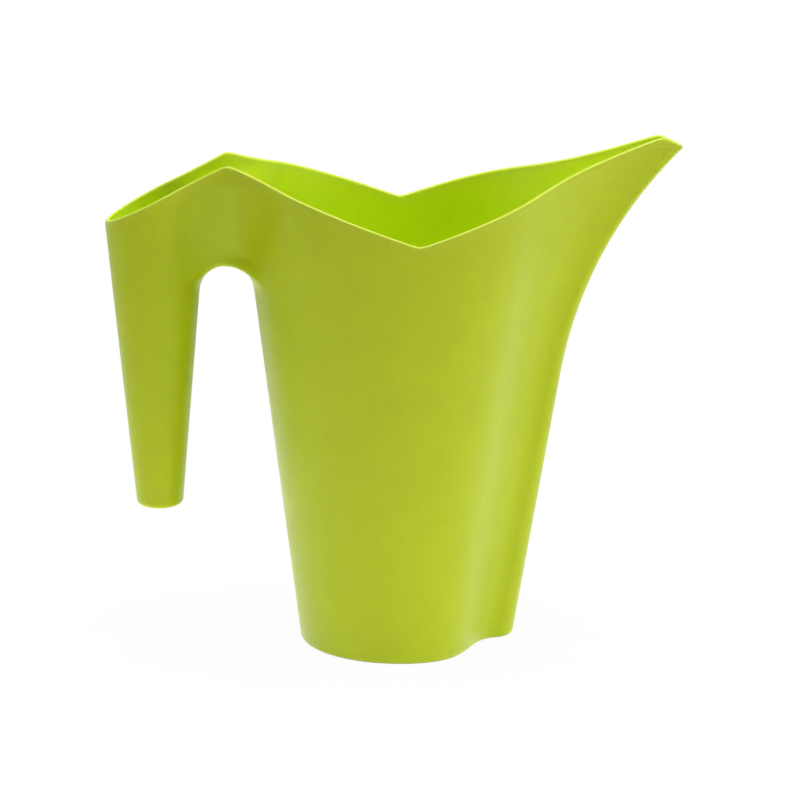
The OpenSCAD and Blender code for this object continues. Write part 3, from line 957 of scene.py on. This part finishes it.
def plastic_material():
    """Satin plastic out of a spark-eroded mould: fine grain, faint flow, draw marks and scuffs,
    with painted light on the inside faces and a painted highlight along the rim.
    """
    name = "Satin plastic"
    if name in bpy.data.materials:
        return bpy.data.materials[name]
    finish = bpy.context.scene.plastic_finish
    material = bpy.data.materials.new(name)
    material.use_nodes = True
    material.node_tree.nodes.clear()
    nodes = NodeMaker(material.node_tree)
    place = nodes.get("ShaderNodeTexCoord", output="Object")

    def noise(size, detail=2.0, stretch=1.0):
        """Noise from 0 to 1 whose lumps have this size in metres, stretched along Z."""
        fine = (1.0 / size, 1.0 / size, 1.0 / (size * stretch))
        spot = nodes.get("ShaderNodeMapping", inputs={"Vector": place, "Scale": fine})
        return nodes.get(
            "ShaderNodeTexNoise",
            {"noise_dimensions": "3D"},
            {"Vector": spot, "Scale": 1.0, "Detail": detail, "Roughness": 0.5},
        )

    grain = noise(finish.grain, 1.0)
    flow = noise(FLOW_SIZE, 3.0)
    mottle = noise(MOTTLE_SIZE, 2.0)
    draw = noise(DRAW_SIZE, 2.0, DRAW_STRETCH)
    scuff = within_one((noise(SCUFF_SIZE, 4.0) - SCUFF_LEVEL) * SCUFF_CONTRAST)
    fine_scuff = scuff * noise(SCRATCH_SIZE, 2.0, SCRATCH_STRETCH)
    rim = nodes.get("ShaderNodeAttribute", {"attribute_name": "rim_light"}, output="Fac")
    inside = nodes.get("ShaderNodeAttribute", {"attribute_name": "inside"}, output="Fac")

    spread = within_one((flow - 0.5) * FLOW_SPREAD + (mottle - 0.5) * MOTTLE_SPREAD + 0.5)
    skins = []
    # The second tint is the painted light inside; the inside mask picks it
    for tint in (finish.colour, finish.inside_colour):
        deep, pale = ([c * k for c in tint] + [1.0] for k in (DEEPER, PALER))
        skins.append(nodes.mix_colours(spread, deep, pale))
    body = nodes.mix_colours(inside, *skins)
    # Painted highlight along the rim
    colour = nodes.mix_colours(rim * RIM_SHARE, body, [*finish.rim_colour, 1.0])

    rough = finish.roughness + (flow - 0.5) * FLOW_ROUGH + (draw - 0.5) * DRAW_ROUGH
    rough = rough + (mottle - 0.5) * MOTTLE_ROUGH - fine_scuff * SCRATCH_SHINE

    relief = grain * finish.grain_height + draw * DRAW_HEIGHT + flow * FLOW_HEIGHT
    relief = relief - fine_scuff * SCRATCH_DEPTH
    bump = nodes.get("ShaderNodeBump", inputs={"Strength": 1.0, "Distance": 1.0, "Height": relief})
    shader = nodes.get(
        "ShaderNodeBsdfPrincipled",
        inputs={
            "Base Color": colour,
            "Roughness": rough,
            "Normal": bump,
            "IOR": PLASTIC_IOR,
            "Specular IOR Level": finish.gloss,
        },
    )
    nodes.make("ShaderNodeOutputMaterial", inputs={"Surface": shader})
    return material


def seen_directly(nodes):
    """1 for what the camera sees, also in a mirror or through glass, otherwise 0."""
    path = nodes.make("ShaderNodeLightPath")
    names = ("Is Camera Ray", "Is Glossy Ray", "Is Transmission Ray")
    camera, glossy, through = (Socket(nodes, path.outputs[name]) for name in names)
    return lower(camera + glossy + through, 1.0)


def floor_material():
    """White paper that keeps a faint shadow near the can."""
    material = bpy.data.materials.new("Studio paper")
    material.use_nodes = True
    material.node_tree.nodes.clear()
    nodes = NodeMaker(material.node_tree)
    paper = nodes.get("ShaderNodeBsdfDiffuse", inputs={"Color": (0.9, 0.9, 0.9, 1.0)})
    white = nodes.get("ShaderNodeEmission", inputs={"Color": WHITE, "Strength": 1.0})
    place = nodes.get("ShaderNodeTexCoord", output="Object")
    away = nodes.get("ShaderNodeVectorMath", {"operation": "LENGTH"}, {0: place}, output="Value")
    paper_white = FOOT_WHITE + (1.0 - FOOT_WHITE) * ramp(away, SHADE_START, SHADE_FADE)
    share_white = seen_directly(nodes) * paper_white
    shader = nodes.get("ShaderNodeMixShader", inputs={0: share_white, 1: paper, 2: white})
    nodes.make("ShaderNodeOutputMaterial", inputs={"Surface": shader})
    return material


def studio_world(strength):
    world = bpy.data.worlds.new("Studio")
    world.use_nodes = True
    world.node_tree.nodes.clear()
    nodes = NodeMaker(world.node_tree)
    brightness = seen_directly(nodes) * (1.0 - strength) + strength
    sky = nodes.get("ShaderNodeBackground", inputs={"Color": WHITE, "Strength": brightness})
    nodes.make("ShaderNodeOutputWorld", inputs={"Surface": sky})
    return world


# Half the paper's width, the places of the lamps and their widths and heights, in metres
FLOOR_REACH = 4.0
BEAK_LAMP_AT, GRIP_LAMP_AT = (1.0, -0.35, 0.62), (-1.0, 0.25, 0.4)
TOP_LAMP_AT, TABLE_AT = (0.0, 0.0, 1.1), (0.0, 0.0, 0.5 * MM)
UPRIGHT_BOX, SQUARE_BOX, TABLE_SIZE = (0.5, 0.9), (0.9, 0.9), (0.8, 0.8)
# Width of the camera's sensor in millimetres
SENSOR = 36.0


def add_lamp(name, watts, place, aim, size):
    lamp = bpy.data.lights.new(name, "AREA")
    lamp.energy = watts
    lamp.shape = "RECTANGLE"
    lamp.size, lamp.size_y = size
    obj = bpy.data.objects.new(name, lamp)
    obj.location = place
    obj.rotation_euler = (aim - Vector(place)).to_track_quat("-Z", "Y").to_euler()
    bpy.context.scene.collection.objects.link(obj)


# ---- operators ----
class WATERCAN_OT_base(bpy.types.Operator):
    """Make the vessel's floor, on the ring that it stands on"""

    bl_idname = "watercan.base"
    bl_label = "Base"

    def execute(self, context):
        d = all_sizes(context.scene)
        mesh = wall_mesh("floor_plate", base_sections(d), d, True, True, BASE_FLAT_ROWS)
        # The floor's upper face is inside, and gets the painted light inside
        on_top = [float(vertex.co.z > d.floor_z - MM) for vertex in mesh.vertices]
        mesh.attributes["inside"].data.foreach_set("value", on_top)
        new_piece("floor_plate", mesh, "base")
        return {"FINISHED"}


class WATERCAN_OT_lower_wall(bpy.types.Operator):
    """Make the closed wall below the bridge's crown"""

    bl_idname = "watercan.lower_wall"
    bl_label = "Lower wall"

    def execute(self, context):
        new_piece("lower_wall", lower_wall_mesh(all_sizes(context.scene)), "vessel_wall")
        return {"FINISHED"}


class WATERCAN_OT_shoulders(bpy.types.Operator):
    """Make the two walls between the bridge and the notch"""

    bl_idname = "watercan.shoulders"
    bl_label = "Shoulders"

    def execute(self, context):
        d = all_sizes(context.scene)
        left = vessel_sections(d, np.arange(ACROSS, NOTCH_COLUMN + 1.0))
        new_piece("left_shoulder", wall_mesh("left_shoulder", left, d), "shoulder_left")
        right = mirrored(left[::-1])
        new_piece("right_shoulder", wall_mesh("right_shoulder", right, d), "shoulder_right")
        return {"FINISHED"}


class WATERCAN_OT_beak(bpy.types.Operator):
    """Make the flanks and the pouring beak"""

    bl_idname = "watercan.beak"
    bl_label = "Beak"

    def execute(self, context):
        d = all_sizes(context.scene)
        half = vessel_sections(d, np.arange(NOTCH_COLUMN, BEAK_COLUMN + 1.0))
        both = np.concatenate([half, mirrored(half[-2::-1])])
        new_piece("pouring_beak", wall_mesh("pouring_beak", both, d), "spout")
        return {"FINISHED"}


class WATERCAN_OT_bridge(bpy.types.Operator):
    """Make the open trough that carries the grip"""

    bl_idname = "watercan.bridge"
    bl_label = "Bridge"

    def execute(self, context):
        d = all_sizes(context.scene)
        new_piece("bridge_trough", wall_mesh("bridge_trough", bridge_sections(d), d), "bridge")
        return {"FINISHED"}


class WATERCAN_OT_grip(bpy.types.Operator):
    """Make the hollow grip, its open upper end and its closed lower end"""

    bl_idname = "watercan.grip"
    bl_label = "Grip"

    def execute(self, context):
        d = all_sizes(context.scene)
        mouth = wall_mesh("grip_mouth_wall", mouth_sections(d), d)
        new_piece("grip_mouth_wall", mouth, "grip_mouth")
        tube = wall_mesh("grip_tube", grip_sections(d), d, ring=True, flat_rows=(GRIP_ROWS - 1,))
        new_piece("grip_tube", tube, "grip")
        end = wall_mesh("grip_end", grip_end_sections(d), d, ring=True, capped=True)
        new_piece("grip_end", end, "grip_cap")
        return {"FINISHED"}


class WATERCAN_OT_shading(bpy.types.Operator):
    """Shade the pieces as one surface where they meet"""

    bl_idname = "watercan.shading"
    bl_label = "Shade across the joints"

    def execute(self, context):
        match_shading([o for o in context.scene.objects if "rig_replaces" in o])
        return {"FINISHED"}


class WATERCAN_OT_studio(bpy.types.Operator):
    """Set the floor, the backdrop, the lamps and the camera"""

    bl_idname = "watercan.studio"
    bl_label = "Studio"

    def execute(self, context):
        scene, studio = context.scene, context.scene.studio_settings
        aim = Vector(studio.aim)
        mesh = bpy.data.meshes.new("studio_floor")
        sides = ((-1, -1), (1, -1), (1, 1), (-1, 1))
        corners = [(x * FLOOR_REACH, y * FLOOR_REACH, 0) for x, y in sides]
        mesh.from_pydata(corners, [], [(0, 1, 2, 3)])
        mesh.materials.append(floor_material())
        floor = bpy.data.objects.new("studio_floor", mesh)
        scene.collection.objects.link(floor)
        scene.world = studio_world(studio.sky)
        add_lamp("Beak softbox", studio.beak_lamp, BEAK_LAMP_AT, aim, UPRIGHT_BOX)
        add_lamp("Grip softbox", studio.grip_lamp, GRIP_LAMP_AT, aim, UPRIGHT_BOX)
        add_lamp("Top softbox", studio.top_lamp, TOP_LAMP_AT, aim, SQUARE_BOX)
        add_lamp("Light table", studio.table_lamp, TABLE_AT, Vector((0, 0, 1)), TABLE_SIZE)
        lens = bpy.data.cameras.new("Camera")
        lens.lens, lens.sensor_width = studio.lens, SENSOR
        camera = bpy.data.objects.new("Camera", lens)
        level = math.cos(studio.elevation)
        back = Vector((
            math.sin(studio.azimuth) * level,
            -math.cos(studio.azimuth) * level,
            math.sin(studio.elevation),
        ))
        camera.location = aim + back * studio.distance
        camera.rotation_euler = (-back).to_track_quat("-Z", "Y").to_euler()
        scene.collection.objects.link(camera)
        scene.camera = camera
        scene.view_settings.view_transform = "Standard"
        return {"FINISHED"}


OPERATORS = (
    WATERCAN_OT_base,
    WATERCAN_OT_lower_wall,
    WATERCAN_OT_shoulders,
    WATERCAN_OT_beak,
    WATERCAN_OT_bridge,
    WATERCAN_OT_grip,
    WATERCAN_OT_shading,
    WATERCAN_OT_studio,
)
SIZE_GROUPS = {
    "vessel_sizes": VesselSizes,
    "keel_sizes": KeelSizes,
    "rim_sizes": RimSizes,
    "grip_sizes": GripSizes,
    "bridge_sizes": BridgeSizes,
}
GROUPS = {**SIZE_GROUPS, "plastic_finish": PlasticFinish, "studio_settings": StudioSettings}


class WATERCAN_PT_panel(bpy.types.Panel):
    """Sizes and makers of the watering can"""

    bl_idname = "WATERCAN_PT_panel"
    bl_label = "Watering can"
    bl_space_type = "VIEW_3D"
    bl_region_type = "UI"
    bl_category = "Watering can"

    def draw(self, context):
        for operator in OPERATORS:
            self.layout.operator(operator.bl_idname)
        for name, group in GROUPS.items():
            box = self.layout.box()
            box.label(text=group.__doc__)
            for key in group.__annotations__:
                box.prop(getattr(context.scene, name), key)


def all_sizes(scene):
    """Every size, and what follows from them."""
    d = SimpleNamespace()
    for name, group in SIZE_GROUPS.items():
        for key in group.__annotations__:
            setattr(d, key, getattr(getattr(scene, name), key))
    d.notch_angle = math.acos(d.notch_x / vessel_r(d, d.notch_z))
    d.beak_t = find_place(lambda t: vessel_edge(d, d.beak_z, 2 + t)[0], d.beak_x)
    d.crest_t = find_place(lambda t: side_xy(d, d.crest_z, t, 0.0), d.crest_x)
    return d


def register():
    for cls in (*GROUPS.values(), *OPERATORS, WATERCAN_PT_panel):
        bpy.utils.register_class(cls)
    for name, group in GROUPS.items():
        setattr(bpy.types.Scene, name, PointerProperty(type=group))


def unregister():
    for name in GROUPS:
        delattr(bpy.types.Scene, name)
    for cls in reversed((*GROUPS.values(), *OPERATORS, WATERCAN_PT_panel)):
        bpy.utils.unregister_class(cls)


def main():
    register()
    for operator in OPERATORS:
        module, name = operator.bl_idname.split(".")
        getattr(getattr(bpy.ops, module), name)()


if __name__ == "__main__":
    main()
